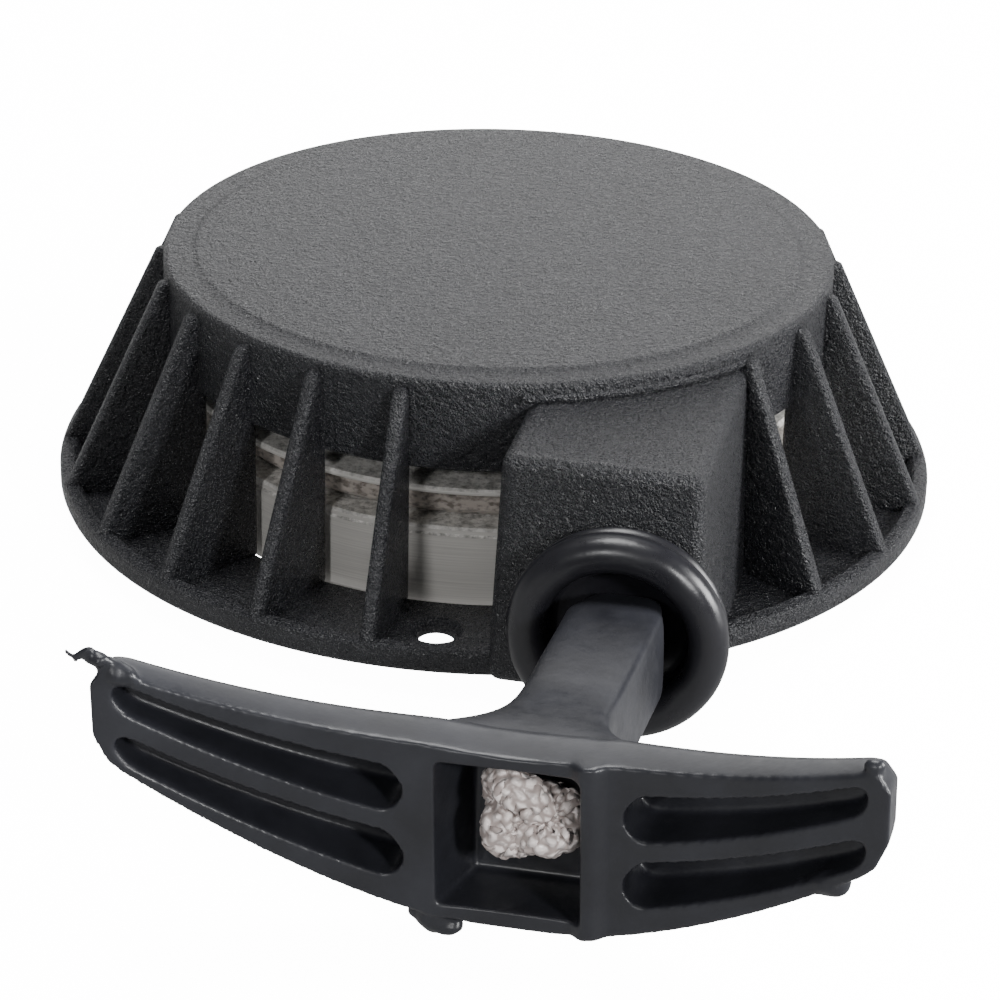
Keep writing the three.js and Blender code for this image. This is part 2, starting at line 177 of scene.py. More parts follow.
def atTurn(radius, degrees):
    # turn 0 is -Y, and the turn grows towards +X
    return (radius * math.sin(math.radians(degrees)), -radius * math.cos(math.radians(degrees)))


def newMaterial(name, colour, roughness, metallic=0.0):
    material = bpy.data.materials.new(name)
    material.use_nodes = True
    nodes = material.node_tree.nodes
    links = material.node_tree.links
    shader = nodes["Principled BSDF"]
    shader.inputs["Base Color"].default_value = (*colour, 1)
    shader.inputs["Roughness"].default_value = roughness
    shader.inputs["Metallic"].default_value = metallic
    place = nodes.new("ShaderNodeTexCoord")
    return material, nodes, links, shader, place


def noiseNode(nodes, links, source, scale, detail=4, roughness=0.55, stretch=None):
    if stretch is not None:
        mapping = nodes.new("ShaderNodeMapping")
        mapping.inputs["Scale"].default_value = stretch
        links.new(source, mapping.inputs["Vector"])
        source = mapping.outputs["Vector"]
    texture = nodes.new("ShaderNodeTexNoise")
    texture.inputs["Scale"].default_value = scale
    texture.inputs["Detail"].default_value = detail
    texture.inputs["Roughness"].default_value = roughness
    links.new(source, texture.inputs["Vector"])
    return texture


def rampNode(nodes, links, source, stops):
    ramp = nodes.new("ShaderNodeValToRGB")
    while len(ramp.color_ramp.elements) < len(stops):
        ramp.color_ramp.elements.new(0.5)
    for element, (position, colour) in zip(ramp.color_ramp.elements, stops):
        element.position = position
        element.color = (*colour, 1) if len(colour) == 3 else colour
    links.new(source, ramp.inputs["Fac"])
    return ramp


def grey(value):
    return (value, value, value)


def bumpNode(nodes, links, height, strength, distance, below=None):
    bump = nodes.new("ShaderNodeBump")
    bump.inputs["Strength"].default_value = strength
    bump.inputs["Distance"].default_value = distance
    links.new(height, bump.inputs["Height"])
    if below is not None:
        links.new(below.outputs["Normal"], bump.inputs["Normal"])
    return bump


def mixNode(nodes, links, factor, first, second, blend='MIX'):
    mix = nodes.new("ShaderNodeMix")
    mix.data_type = 'RGBA'
    mix.blend_type = blend
    if isinstance(factor, float):
        mix.inputs[0].default_value = factor
    else:
        links.new(factor, mix.inputs[0])
    for socket, value in ((mix.inputs[6], first), (mix.inputs[7], second)):
        if isinstance(value, tuple):
            socket.default_value = (*value, 1)
        else:
            links.new(value, socket)
    return mix


cracklePaint = {"colour": (0.010, 0.0105, 0.013), "broad": (0.016, 0.0165, 0.02), "light": (0.032, 0.033, 0.037)}


def makeCracklePaint():
    # rough black paint on a die casting: fine pebbles, with glossier flecks between them; the raised pebbles are
    # painted lighter as painted glints
    material, nodes, links, shader, place = newMaterial("cracklePaint", cracklePaint["colour"], 0.5)
    pebbles = noiseNode(nodes, links, place.outputs["Object"], 1150, 3, 0.6)
    fine = noiseNode(nodes, links, place.outputs["Object"], 3200, 2, 0.6)
    broad = noiseNode(nodes, links, place.outputs["Object"], 70, 5, 0.6)
    tones = [(0.3, cracklePaint["colour"]), (0.75, cracklePaint["broad"])]
    tone = rampNode(nodes, links, broad.outputs["Fac"], tones)
    # painted glints: the pebbles' raised tops are mixed towards a lighter colour
    pebbleGlint = rampNode(nodes, links, pebbles.outputs["Fac"], [(0.5, (0, 0, 0)), (0.75, grey(0.5))])
    colour = mixNode(nodes, links, pebbleGlint.outputs["Color"], tone.outputs["Color"], cracklePaint["light"])
    links.new(colour.outputs[2], shader.inputs["Base Color"])
    gloss = rampNode(nodes, links, fine.outputs["Fac"], [(0.42, grey(0.5)), (0.6, grey(0.16))])
    links.new(gloss.outputs["Color"], shader.inputs["Roughness"])
    low = bumpNode(nodes, links, pebbles.outputs["Fac"], 1.0, 0.0008)
    top = bumpNode(nodes, links, fine.outputs["Fac"], 1.0, 0.0005, low)
    links.new(top.outputs["Normal"], shader.inputs["Normal"])
    return material


def makeGripPlastic():
    # moulded black plastic with a faint flow grain and dull scuffs
    material, nodes, links, shader, place = newMaterial("gripPlastic", (0.022, 0.023, 0.028), 0.36)
    fine = noiseNode(nodes, links, place.outputs["Object"], 2600, 4, 0.6)
    broad = noiseNode(nodes, links, place.outputs["Object"], 120, 5, 0.6)
    tone = rampNode(nodes, links, broad.outputs["Fac"], [(0.3, (0.012, 0.0125, 0.016)), (0.7, (0.022, 0.023, 0.029))])
    links.new(tone.outputs["Color"], shader.inputs["Base Color"])
    scuff = noiseNode(nodes, links, place.outputs["Object"], 420, 6, 0.7)
    dull = rampNode(nodes, links, scuff.outputs["Fac"], [(0.3, grey(0.3)), (0.7, grey(0.46))])
    links.new(dull.outputs["Color"], shader.inputs["Roughness"])
    low = bumpNode(nodes, links, broad.outputs["Fac"], 0.25, 0.0006)
    top = bumpNode(nodes, links, fine.outputs["Fac"], 0.12, 0.00006, low)
    links.new(top.outputs["Normal"], shader.inputs["Normal"])
    return material


def makeGlossPlastic():
    material, nodes, links, shader, place = newMaterial("glossPlastic", (0.012, 0.012, 0.015), 0.24)
    smear = noiseNode(nodes, links, place.outputs["Object"], 260, 5, 0.6)
    dull = rampNode(nodes, links, smear.outputs["Fac"], [(0.35, grey(0.26)), (0.75, grey(0.42))])
    links.new(dull.outputs["Color"], shader.inputs["Roughness"])
    wave = bumpNode(nodes, links, smear.outputs["Fac"], 0.18, 0.0004)
    links.new(wave.outputs["Normal"], shader.inputs["Normal"])
    return material


def makeCastAluminium():
    # cast on the level faces, turned on the upright ones; the level faces also get a painted light, a brighter,
    # blown-out tone where light falls on the reel's top
    material, nodes, links, shader, place = newMaterial("castAluminium", (0.5, 0.48, 0.45), 0.4, 0.12)
    shape = nodes.new("ShaderNodeNewGeometry")
    split = nodes.new("ShaderNodeSeparateXYZ")
    links.new(shape.outputs["Normal"], split.inputs["Vector"])
    level = rampNode(nodes, links, split.outputs["Z"], [(0.5, (0, 0, 0)), (0.8, (1, 1, 1))])
    mottle = noiseNode(nodes, links, place.outputs["Object"], 900, 5, 0.7)
    # painted light: the up-facing cast tone runs up to near white, standing in for light on the reel's top
    castToneAndPaintedLight = rampNode(nodes, links, mottle.outputs["Fac"], [(0.36, (0.36, 0.35, 0.33)), (0.62, (0.96, 0.94, 0.9))])
    lathe = noiseNode(nodes, links, place.outputs["Object"], 900, 3, 0.6, (0.05, 0.05, 6))
    smoothTone = rampNode(nodes, links, lathe.outputs["Fac"], [(0.3, (0.58, 0.56, 0.53)), (0.7, (0.74, 0.72, 0.68))])
    colour = mixNode(nodes, links, level.outputs["Color"], smoothTone.outputs["Color"], castToneAndPaintedLight.outputs["Color"])
    links.new(colour.outputs[2], shader.inputs["Base Color"])
    rough = mixNode(nodes, links, level.outputs["Color"], grey(0.42), grey(0.5))
    links.new(rough.outputs[2], shader.inputs["Roughness"])
    low = bumpNode(nodes, links, lathe.outputs["Fac"], 0.12, 0.0001)
    top = bumpNode(nodes, links, mottle.outputs["Fac"], 0.3, 0.00018, low)
    links.new(top.outputs["Normal"], shader.inputs["Normal"])
    return material


def makeMetal(name, colour, roughness, grainScale=1600, lift=0.5):
    material, nodes, links, shader, place = newMaterial(name, colour, roughness, 1.0)
    grain = noiseNode(nodes, links, place.outputs["Object"], grainScale, 4, 0.6)
    broad = noiseNode(nodes, links, place.outputs["Object"], 180, 4, 0.6)
    darker = tuple(channel * lift for channel in colour)
    tone = rampNode(nodes, links, broad.outputs["Fac"], [(0.3, darker), (0.6, colour)])
    links.new(tone.outputs["Color"], shader.inputs["Base Color"])
    smoother = grey(roughness * 0.75)
    rougher = grey(min(1, roughness * 1.4))
    dull = rampNode(nodes, links, grain.outputs["Fac"], [(0.3, smoother), (0.7, rougher)])
    links.new(dull.outputs["Color"], shader.inputs["Roughness"])
    bump = bumpNode(nodes, links, grain.outputs["Fac"], 0.15, 0.00006)
    links.new(bump.outputs["Normal"], shader.inputs["Normal"])
    return material


def makeBraid(name, colour, shadow, roughness, strandScale):
    # plaited cord: two sets of diagonal strands in the cord's own UV map
    material, nodes, links, shader, place = newMaterial(name, colour, roughness)
    uv = nodes.new("ShaderNodeUVMap")
    uv.uv_map = "cordMap"
    heights = []
    for lean in (1, -1):
        mapping = nodes.new("ShaderNodeMapping")
        mapping.inputs["Rotation"].default_value = (0, 0, math.radians(38 * lean))
        links.new(uv.outputs["UV"], mapping.inputs["Vector"])
        strands = nodes.new("ShaderNodeTexWave")
        strands.inputs["Scale"].default_value = strandScale
        strands.inputs["Distortion"].default_value = 3.2
        strands.inputs["Detail Scale"].default_value = 1.5
        links.new(mapping.outputs["Vector"], strands.inputs["Vector"])
        heights.append(strands.outputs["Fac"])
    weave = nodes.new("ShaderNodeMath")
    weave.operation = 'MULTIPLY'
    links.new(heights[0], weave.inputs[0])
    links.new(heights[1], weave.inputs[1])
    tone = rampNode(nodes, links, weave.outputs["Value"], [(0.02, shadow), (0.35, colour)])
    links.new(tone.outputs["Color"], shader.inputs["Base Color"])
    shader.inputs["Sheen Weight"].default_value = 0.2
    fuzz = noiseNode(nodes, links, place.outputs["Object"], 5000, 3, 0.6)
    low = bumpNode(nodes, links, weave.outputs["Value"], 0.8, 0.0004)
    top = bumpNode(nodes, links, fuzz.outputs["Fac"], 0.3, 0.0001, low)
    links.new(top.outputs["Normal"], shader.inputs["Normal"])
    return material


def makeShadedWoundRope():
    # the pull rope's cord painted darker as painted shade, where it lies wound in the shadow of the reel's flange; it
    # shows only as soft, slanted strands
    material, nodes, links, shader, place = newMaterial("shadedWoundRope", (0.42, 0.37, 0.33), 0.6)
    strands = noiseNode(nodes, links, place.outputs["Object"], 900, 3, 0.5, (1, 1, 1.8))
    tone = rampNode(nodes, links, strands.outputs["Fac"], [(0.38, (0.18, 0.155, 0.135)), (0.55, (0.46, 0.41, 0.37))])
    links.new(tone.outputs["Color"], shader.inputs["Base Color"])
    shader.inputs["Sheen Weight"].default_value = 0.2
    bump = bumpNode(nodes, links, strands.outputs["Fac"], 0.7, 0.0005)
    links.new(bump.outputs["Normal"], shader.inputs["Normal"])
    return material


crackle = makeCracklePaint()
gripPlastic = makeGripPlastic()
glossPlastic = makeGlossPlastic()
castAluminium = makeCastAluminium()
zincSteel = makeMetal("zincSteel", (0.52, 0.52, 0.53), 0.3)
blackSteel = makeMetal("blackSteel", (0.06, 0.065, 0.08), 0.34)
springSteel = makeMetal("springSteel", (0.16, 0.18, 0.24), 0.25)
bronze = makeMetal("sinteredBronze", (0.4, 0.25, 0.11), 0.45, 3000)
paleBraid = makeBraid("paleBraid", (0.62, 0.58, 0.56), (0.16, 0.14, 0.14), 0.5, 0.5)
glazedBraid = makeBraid("glazedBraid", (0.86, 0.78, 0.75), (0.38, 0.32, 0.3), 0.22, 0.3)
shadedWoundRope = makeShadedWoundRope()
print("starter: materials made")


housing = {
    "flangeR": 60, "boreR": 44.4, "webZ": 1.8, "rimW": 2.2, "rimZ": 3.2,
    "wallR": 45.2, "wallT": 2, "windowTopZ": 20.8, "domeZ": 33.2, "domeT": 2.5, "crownR": 41, "crownStep": 0.22,
    "postR": 6.8, "postEndZ": 6.6, "tapR": 3, "tapTopZ": 22,
    "bossR": 2.9, "bossPcdR": 33, "bossEndZ": 18.9, "bossTapR": 1.5,
    "holeTurns": (-7.5, 112.5, 232.5), "holePcdR": 52, "holeR": 2.4, "sinkR": 3.6,
    "steps": 192,
}
rib = {
    "thick": 2.0, "innerR": 44.0, "headR": 46.3, "headZ": 31.6, "footR": 59.8, "footZ": 3.4,
    "pitch": 15, "leftOut": (0, 15, 30), "edge": 0.7,
}
guideBox = {
    "turn": -12, "x": 29.1, "z": 11, "left": (12.2, 13.2), "right": (39.2, 38), "front": (60.2, 58.6),
    "backY": 22, "topZ": 30.4, "wall": 2.4, "sleeveHoleR": 5.5, "edge": 1.7, "frontY": 60.2,
}
toGuide = Matrix.Rotation(math.radians(guideBox["turn"]), 4, 'Z')


def makeDome():
    h = housing
    low = h["domeZ"] - h["domeT"]
    top = h["domeZ"]
    step = h["crownStep"]
    dome = spunPiece("dome", [
        (0, low), (h["wallR"] - h["wallT"] - 0.8, low), (h["wallR"] - h["wallT"], low - 0.8),
        (h["wallR"] - h["wallT"], h["windowTopZ"] + 0.3),
        (h["wallR"] - h["wallT"] + 0.3, h["windowTopZ"]), (h["wallR"] - 0.3, h["windowTopZ"]),
        (h["wallR"], h["windowTopZ"] + 0.3),
        (h["wallR"], top - step - 0.75), (h["wallR"] - 0.1, top - step - 0.35), (h["wallR"] - 0.35, top - step - 0.1),
        (h["wallR"] - 0.75, top - step),
        (h["crownR"] + 0.25, top - step), (h["crownR"], top - step + 0.08), (h["crownR"] - 0.25, top - 0.05),
        (h["crownR"] - 0.5, top), (0, top),
    ], h["steps"])
    smoothBy(dome, 32)
    parts = [dome]
    post = rodPiece("post", h["postR"], h["postEndZ"], low + 0.5, 64)
    tap = rodPiece("tap", h["tapR"], h["postEndZ"] - 1, h["tapTopZ"], 32)
    parts.append(smoothBy(softEdges(cutWith(post, tap), 0.3), 40))
    for turn in (60, 180, 300):
        where = atTurn(h["bossPcdR"], turn)
        boss = rodPiece("boss", h["bossR"], h["bossEndZ"], low + 0.5, 32, where)
        tap = rodPiece("tap", h["bossTapR"], h["bossEndZ"] - 1, h["bossEndZ"] + 7, 20, where)
        parts.append(smoothBy(softEdges(cutWith(boss, tap), 0.2), 40))
    return parts


def makeFlange():
    h = housing
    flange = spunPiece("flange", [
        (h["boreR"], 0.3), (h["boreR"] + 0.3, 0), (h["flangeR"] - 0.6, 0), (h["flangeR"] - 0.17, 0.17),
        (h["flangeR"], 0.6),
        (h["flangeR"], h["rimZ"] - 0.7), (h["flangeR"] - 0.2, h["rimZ"] - 0.2), (h["flangeR"] - 0.7, h["rimZ"]),
        (h["flangeR"] - h["rimW"] + 0.3, h["rimZ"]), (h["flangeR"] - h["rimW"] - 0.1, h["rimZ"] - 0.3),
        (h["flangeR"] - h["rimW"] - 0.5, h["webZ"] + 0.2), (h["flangeR"] - h["rimW"] - 0.9, h["webZ"]),
        (h["boreR"] + 0.4, h["webZ"]), (h["boreR"], h["webZ"] - 0.4),
    ], h["steps"])
    for turn in h["holeTurns"]:
        where = atTurn(h["holePcdR"], turn)
        cutWith(flange, rodPiece("drill", h["holeR"], -1, h["webZ"] + 1, 40, where))
        deselectAll()
        bpy.ops.mesh.primitive_cone_add(vertices=40, radius1=(h["sinkR"] - 1.0) * mm,
                                        radius2=(h["sinkR"] + 0.3) * mm, depth=1.3 * mm,
                                        location=(where[0] * mm, where[1] * mm, (h["webZ"] - 0.15) * mm))
        cutWith(flange, settle(newest("sink")))
    return [smoothBy(flange, 32)]


def makeRibs():
    r = rib
    first = platePiece("rib", [
        (r["innerR"], 1.3), (r["footR"], 1.3), (r["footR"], r["footZ"] - 0.4), (r["footR"] - 0.3, r["footZ"]),
        (r["headR"] + 0.15, r["headZ"] - 0.3), (r["headR"] - 0.4, r["headZ"]), (r["innerR"], r["headZ"]),
    ], r["thick"])
    softEdges(first, r["edge"], 3, 50)
    smoothBy(first, 50)
    first.data.transform(Matrix.Rotation(math.radians(-90), 4, 'Z'))
    ribs = []
    for turn in range(0, 360, r["pitch"]):
        if turn not in r["leftOut"]:
            ribs.append(turnedCopy(first, turn))
    bpy.data.objects.remove(first, do_unlink=True)
    return ribs


def makeGuideBox():
    g = guideBox
    h = housing
    shell = blockPiece("guideBox", (g["left"][0], g["right"][0], -g["front"][0], -g["backY"]),
                       (g["left"][1], g["right"][1], -g["front"][1], -g["backY"]), 0, g["topZ"])
    softEdges(shell, g["edge"], 4, 50)
    wall = g["wall"]
    low, high = [(g["left"][end] + wall, g["right"][end] - wall, -g["front"][end] + wall, -g["backY"] + 9)
                 for end in (0, 1)]
    hollow = blockPiece("hollow", low, high, -1, g["topZ"] - wall)
    softEdges(hollow, 0.8, 2, 50)
    cutWith(shell, hollow)
    deselectAll()
    bpy.ops.mesh.primitive_cylinder_add(vertices=48, radius=g["sleeveHoleR"] * mm, depth=12 * mm,
                                        rotation=(math.radians(90), 0, 0),
                                        location=(g["x"] * mm, (-g["frontY"] + 1) * mm, g["z"] * mm))
    cutWith(shell, settle(newest("sleeveHole")))
    settle(shell, toGuide)
    cutWith(shell, rodPiece("inside", h["wallR"] - h["wallT"], -1, h["domeZ"] - h["domeT"], 192))
    return [smoothBy(shell, 35)]


def makeLedge():
    # a low step on the wall above the guide box
    h = housing
    g = guideBox
    ledge = spunPiece("ledge", [
        (h["wallR"] - 0.3, 30.6), (h["wallR"] + 0.25, 30.6), (h["wallR"] + 0.5, 30.85), (h["wallR"] + 0.5, 31.3),
        (h["wallR"] + 0.25, 31.55), (h["wallR"] - 0.3, 31.55),
    ], h["steps"])
    low, high = [(g["left"][end], g["right"][end], -60, -15) for end in (0, 1)]
    span = blockPiece("span", low, high, 29, 33)
    cutWith(ledge, settle(span, toGuide), 'INTERSECT')
    return [smoothBy(ledge, 35)]


casting = joined("casting", makeDome() + makeFlange() + makeRibs() + makeGuideBox() + makeLedge())
casting.data.materials.clear()
casting.data.materials.append(crackle)
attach(casting, "housing")
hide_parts("housing")
print("starter: housing made,", len(casting.data.polygons), "faces")


reel = {
    "outR": 43, "topZ": 17.2, "grooveTopZ": 14.6, "grooveLowZ": 11.5, "drumR": 27,
    "flareInR": 37.4, "flareOutR": 38.9, "flareZ": 16.3, "skirtInR": 39.8, "skirtEndZ": 0.2,
    "webLowZ": 8.2, "hubR": 11, "hubTopZ": 28.6, "boreR": 8.3, "plateauR": 37.8, "knotR": 4.4, "knotTopZ": 12.6,
}


def makeReel():
    r = reel
    e = 0.35
    body = spunPiece("ropeReel", [
        (r["boreR"], r["webLowZ"]), (r["skirtInR"], r["webLowZ"]), (r["skirtInR"], r["skirtEndZ"]),
        (r["outR"] - e, r["skirtEndZ"]), (r["outR"], r["skirtEndZ"] + e),
        (r["outR"], r["grooveLowZ"] - 1.1), (r["outR"] - 0.35, r["grooveLowZ"] - 0.85),
        (r["outR"] - 0.35, r["grooveLowZ"] - e), (r["outR"] - 0.7, r["grooveLowZ"]),
        (r["drumR"], r["grooveLowZ"]), (r["drumR"], r["grooveTopZ"]), (r["flareInR"], r["grooveTopZ"]),
        (r["flareOutR"], r["flareZ"]),
        (r["outR"] - 0.2, r["flareZ"]), (r["outR"], r["flareZ"] + 0.2), (r["outR"], r["topZ"] - 0.3),
        (r["outR"] - 0.3, r["topZ"]), (r["plateauR"], r["topZ"]), (r["plateauR"] - 0.6, r["topZ"] - 1),
        (r["hubR"] + 0.4, r["topZ"] - 1), (r["hubR"], r["topZ"] - 0.6), (r["hubR"], r["hubTopZ"]),
        (r["boreR"], r["hubTopZ"]),
    ], 192)
    cutWith(body, rodPiece("knotPocket", r["knotR"], r["webLowZ"] - 1, r["knotTopZ"], 40, atTurn(21, 60)))
    return smoothBy(body, 32)


ropeReel = makeReel()
ropeReel.data.materials.clear()
ropeReel.data.materials.append(castAluminium)
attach(ropeReel, "reel")
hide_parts("reel")
print("starter: reel made")


bushing = {"lipR": 13.6, "tube": 2.45, "collarR": 13.0, "sleeveR": 5.2, "lipY": 64}


def makeBushing():
    b = bushing
    front = guideBox["frontY"]
    arc = []
    for step in range(21):
        angle = math.radians(-58 + step * (262 / 20))
        arc.append((b["lipR"] - b["tube"] + b["tube"] * math.cos(angle), b["lipY"] + b["tube"] * math.sin(angle)))
    body = spunPiece("guideRing", [
        (b["sleeveR"], front - 7), (b["sleeveR"], front + 0.3), (b["collarR"] - 0.3, front + 0.3),
        (b["collarR"], front + 0.6),
        (b["collarR"], b["lipY"] - 2.9), (b["collarR"] - 0.3, b["lipY"] - 2.3), *arc,
        (8.6, b["lipY"] - 1.8), (8.5, b["lipY"] - 2.4), (8.4, front + 1.2), (7.8, front + 0.7), (3.6, front + 0.5),
        (2.8, front), (2.6, front - 0.8),
        (2.6, front - 6.2), (3.2, front - 7),
    ], 144)
    body.data.transform(Matrix.Rotation(math.radians(90), 4, 'X'))
    body.data.transform(Matrix.Translation((guideBox["x"] * mm, 0, guideBox["z"] * mm)))
    body.data.transform(toGuide)
    tidyShell(body)
    return smoothBy(body, 50)


guideRing = makeBushing()
guideRing.data.materials.clear()
guideRing.data.materials.append(glossPlastic)
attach(guideRing, "housing")
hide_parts("guide_bushing")
print("starter: guide bushing made")


grip = {
    "place": (2.9, -118.5, 12.9), "tilt": (-2.3, -2.2, -14.6),
    "half": 42.4, "shift": -1.6, "sweep": 6.6, "rise": 12, "archX": 40, "depth": 8.6, "tipDepth": 5.2,
    "midH": 10.9, "endH": 5.65, "blockHalf": 9.2,
    "ridgeInner": 7.6, "ridgeOuter": 9.2, "ridgeProud": 1.1, "ridgeFlank": 1.3,
    "pocketFront": (-9, 7.6), "pocketBack": (-6.6, 7), "pocketLowZ": -8.3, "pocketTopZ": 8.9, "pocketDepth": 8.8,
    "stemHalf": 6, "stemHalfH": 6.1, "stemEnd": 53.3,
    "slotInner": 12.2, "slotLeft": 41.8, "slotRight": 38.4, "slotHigh": 5.9, "slotLow": 3.4, "slotDepth": 7,
    "tipRound": 2.6, "ropeHoleR": 2.2, "voxel": 0.3,
}
turnZ = Matrix.Rotation(math.radians(grip["tilt"][2]), 4, 'Z')
turnX = Matrix.Rotation(math.radians(grip["tilt"][0]), 4, 'X')
turnY = Matrix.Rotation(math.radians(grip["tilt"][1]), 4, 'Y')
toHandle = Matrix.Translation(Vector(grip["place"]) * mm) @ turnZ @ turnX @ turnY


def archAt(x):
    return (x / grip["archX"]) ** 2


def armAt(x):
    tip = grip["half"] + (grip["shift"] if x > 0 else -grip["shift"])
    return max(0, (abs(x) - grip["blockHalf"]) / (tip - grip["blockHalf"]))


def gridBlock(name, cuts):
    deselectAll()
    bpy.ops.mesh.primitive_cube_add(size=2)
    piece = newest(name)
    bpy.ops.object.mode_set(mode='EDIT')
    bpy.ops.mesh.select_all(action='SELECT')
    bpy.ops.mesh.subdivide(number_cuts=cuts)
    bpy.ops.object.mode_set(mode='OBJECT')
    return piece


def barHeightAt(x):
    return grip["midH"] + (grip["endH"] - grip["midH"]) * armAt(x) ** 1.25


def barFrontAt(x):
    # an upright ridge stands beside the pocket
    inside = (x - grip["ridgeInner"] + grip["ridgeFlank"]) / grip["ridgeFlank"]
    outside = (grip["ridgeOuter"] + grip["ridgeFlank"] - x) / grip["ridgeFlank"]
    return -grip["sweep"] * archAt(x) - grip["ridgeProud"] * min(1, max(0, min(inside, outside)))


def makeBar():
    g = grip
    bar = gridBlock("bar", 63)
    for vertex in bar.data.vertices:
        along, across, up = vertex.co
        x = along * g["half"] + g["shift"]
        front = barFrontAt(x)
        back = -g["sweep"] * archAt(x) + g["depth"] + (g["tipDepth"] - g["depth"]) * armAt(x)
        # the back's corners are rounder than the front's
        roundOff = 0.2 if across > 0 else 0.05
        # the tips' corners are rounded off
        fromTip = g["half"] * (1 - abs(along))
        corner = max(0, 1 - fromTip / g["tipRound"])
        lost = g["tipRound"] * (1 - math.sqrt(max(0, 1 - corner * corner)))
        height = (barHeightAt(x) - lost) * (1 - roundOff * across * across * abs(up))
        y = front + (back - front) * (across + 1) / 2
        z = g["rise"] * archAt(x) + up * height
        vertex.co = (x * mm, y * mm, z * mm)
    return bar


def makeStem():
    g = grip
    stem = gridBlock("stem", 39)
    for vertex in stem.data.vertices:
        across, along, up = vertex.co
        y = 2 + (along + 1) / 2 * (g["stemEnd"] - 2)
        flare = max(0, 1 - (y - 2) / 24) ** 3
        nose = max(0, (y - g["stemEnd"] + 6) / 6)
        x = across * (g["stemHalf"] + 15 * flare - 1.6 * nose)
        near = max(0, 1 - (y - 2) / 26)
        blended = near * near * (3 - 2 * near)
        tall = g["stemHalfH"] + (0.94 * barHeightAt(x) - g["stemHalfH"]) * blended - 1.2 * nose
        soft = across ** 4 * up ** 4
        x *= 1 - 0.07 * soft
        z = g["rise"] * archAt(x) * blended + up * tall * (1 - 0.12 * soft)
        vertex.co = (x * mm, y * mm, z * mm)
    return stem


def makeSlotTool(side, level):
    g = grip
    outer = g["slotLeft"] if side < 0 else g["slotRight"]
    tool = gridBlock("slot", 31)
    for vertex in tool.data.vertices:
        along, across, up = vertex.co
        # the stations crowd together towards both ends
        far = (math.sin(along * side * math.pi / 2) + 1) / 2
        x = side * (g["slotInner"] + far * (outer - g["slotInner"]))
        half = (g["slotHigh"] + (g["slotLow"] - g["slotHigh"]) * far) / 2
        # the slot's ends are rounded: its height closes on a half circle
        inward = far * (outer - g["slotInner"])
        outward = (1 - far) * (outer - g["slotInner"])
        near = min(inward, outward)
        closing = math.sqrt(max(0.06, 1 - max(0, 1 - near / half) ** 2))
        front = -g["sweep"] * archAt(x)
        draft = 1 if across < 0 else 0.86
        y = front - 2 if across < 0 else front + g["slotDepth"] - 3.6 * far
        z = g["rise"] * archAt(x) + level * (4.05 - 1.05 * far) + up * half * closing * draft
        vertex.co = (x * mm, y * mm, z * mm)
    return tool


def blobPiece(name, place, size, lean=0):
    # a lump of mould flash: a small ball pulled out of round
    deselectAll()
    bpy.ops.mesh.primitive_ico_sphere_add(subdivisions=3, radius=mm, location=Vector(place) * mm,
                                          scale=size, rotation=(0, math.radians(lean), 0))
    blob = settle(newest(name))
    for vertex in blob.data.vertices:
        wobble = noise.noise(vertex.co * 900) * 0.35 * mm
        vertex.co += vertex.normal * wobble
    return blob


# lumps of mould flash: place, size and lean of each ball
flash = {
    "curl": [
        ((-41.4, -6.2, 18.6), (2.4, 1.3, 1.3), 25),
        ((-43.2, -7.0, 20.2), (1.7, 1.0, 0.9), 10),
        ((-44.6, -7.2, 20.9), (1.3, 0.6, 0.45), -25),
        ((-46.0, -7.4, 20.4), (1.0, 0.45, 0.35), 35),
    ],
    "underLeft": [
        ((-9.2, 1.2, -10.9), (2.3, 1.4, 1.7), 20),
        ((-7.4, 1.0, -11.6), (1.6, 1.2, 1.0), -20),
        ((-11.2, 1.4, -10.4), (1.1, 0.9, 0.9), 0),
    ],
    "underRight": [
        ((34.6, -3.6, 2.6), (2.3, 1.3, 1.6), -10),
        ((32.2, -3.0, 1.6), (1.3, 0.9, 0.9), 15),
    ],
    "tipRight": [
        ((38.9, -5.2, 17.6), (1.1, 0.9, 0.7), 0),
    ],
}


def makeGrip():
    g = grip
    body = makeBar()
    cutWith(body, makeStem(), 'UNION')
    reach = (-1, 1, -2, g["pocketDepth"])
    pocket = blockPiece("pocket", reach, reach, g["pocketLowZ"], g["pocketTopZ"])
    for vertex in pocket.data.vertices:
        sides = g["pocketFront"] if vertex.co.y < 0 else g["pocketBack"]
        vertex.co.x = (sides[0] if vertex.co.x < 0 else sides[1]) * mm
    cutWith(body, pocket)
    for side in (-1, 1):
        for level in (-1, 1):
            cutWith(body, makeSlotTool(side, level))
    for name, lumps in flash.items():
        for place, size, lean in lumps:
            cutWith(body, blobPiece(name, place, size, lean), 'UNION')
    withModifier(body, 'REMESH', mode='VOXEL', voxel_size=g["voxel"] * mm, use_smooth_shade=True)
    withModifier(body, 'SMOOTH', factor=0.5, iterations=5)
    deselectAll()
    bpy.ops.mesh.primitive_cylinder_add(vertices=40, radius=g["ropeHoleR"] * mm, depth=(g["stemEnd"] + 4) * mm,
                                        rotation=(math.radians(90), 0, 0),
                                        location=(0, (g["stemEnd"] / 2 + 6) * mm, 0))
    cutWith(body, settle(newest("ropeHole")))
    settle(body, toHandle)
    body.name = "tHandle"
    makeActive(body)
    bpy.ops.object.shade_smooth()
    return body


tHandle = makeGrip()
tHandle.data.materials.clear()
tHandle.data.materials.append(gripPlastic)
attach(tHandle, "handle")
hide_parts("handle_grip")
print("starter: handle made,", len(tHandle.data.polygons), "faces")


ropeFacts = {"radius": 1.45, "sides": 16, "knotR": 2.0}


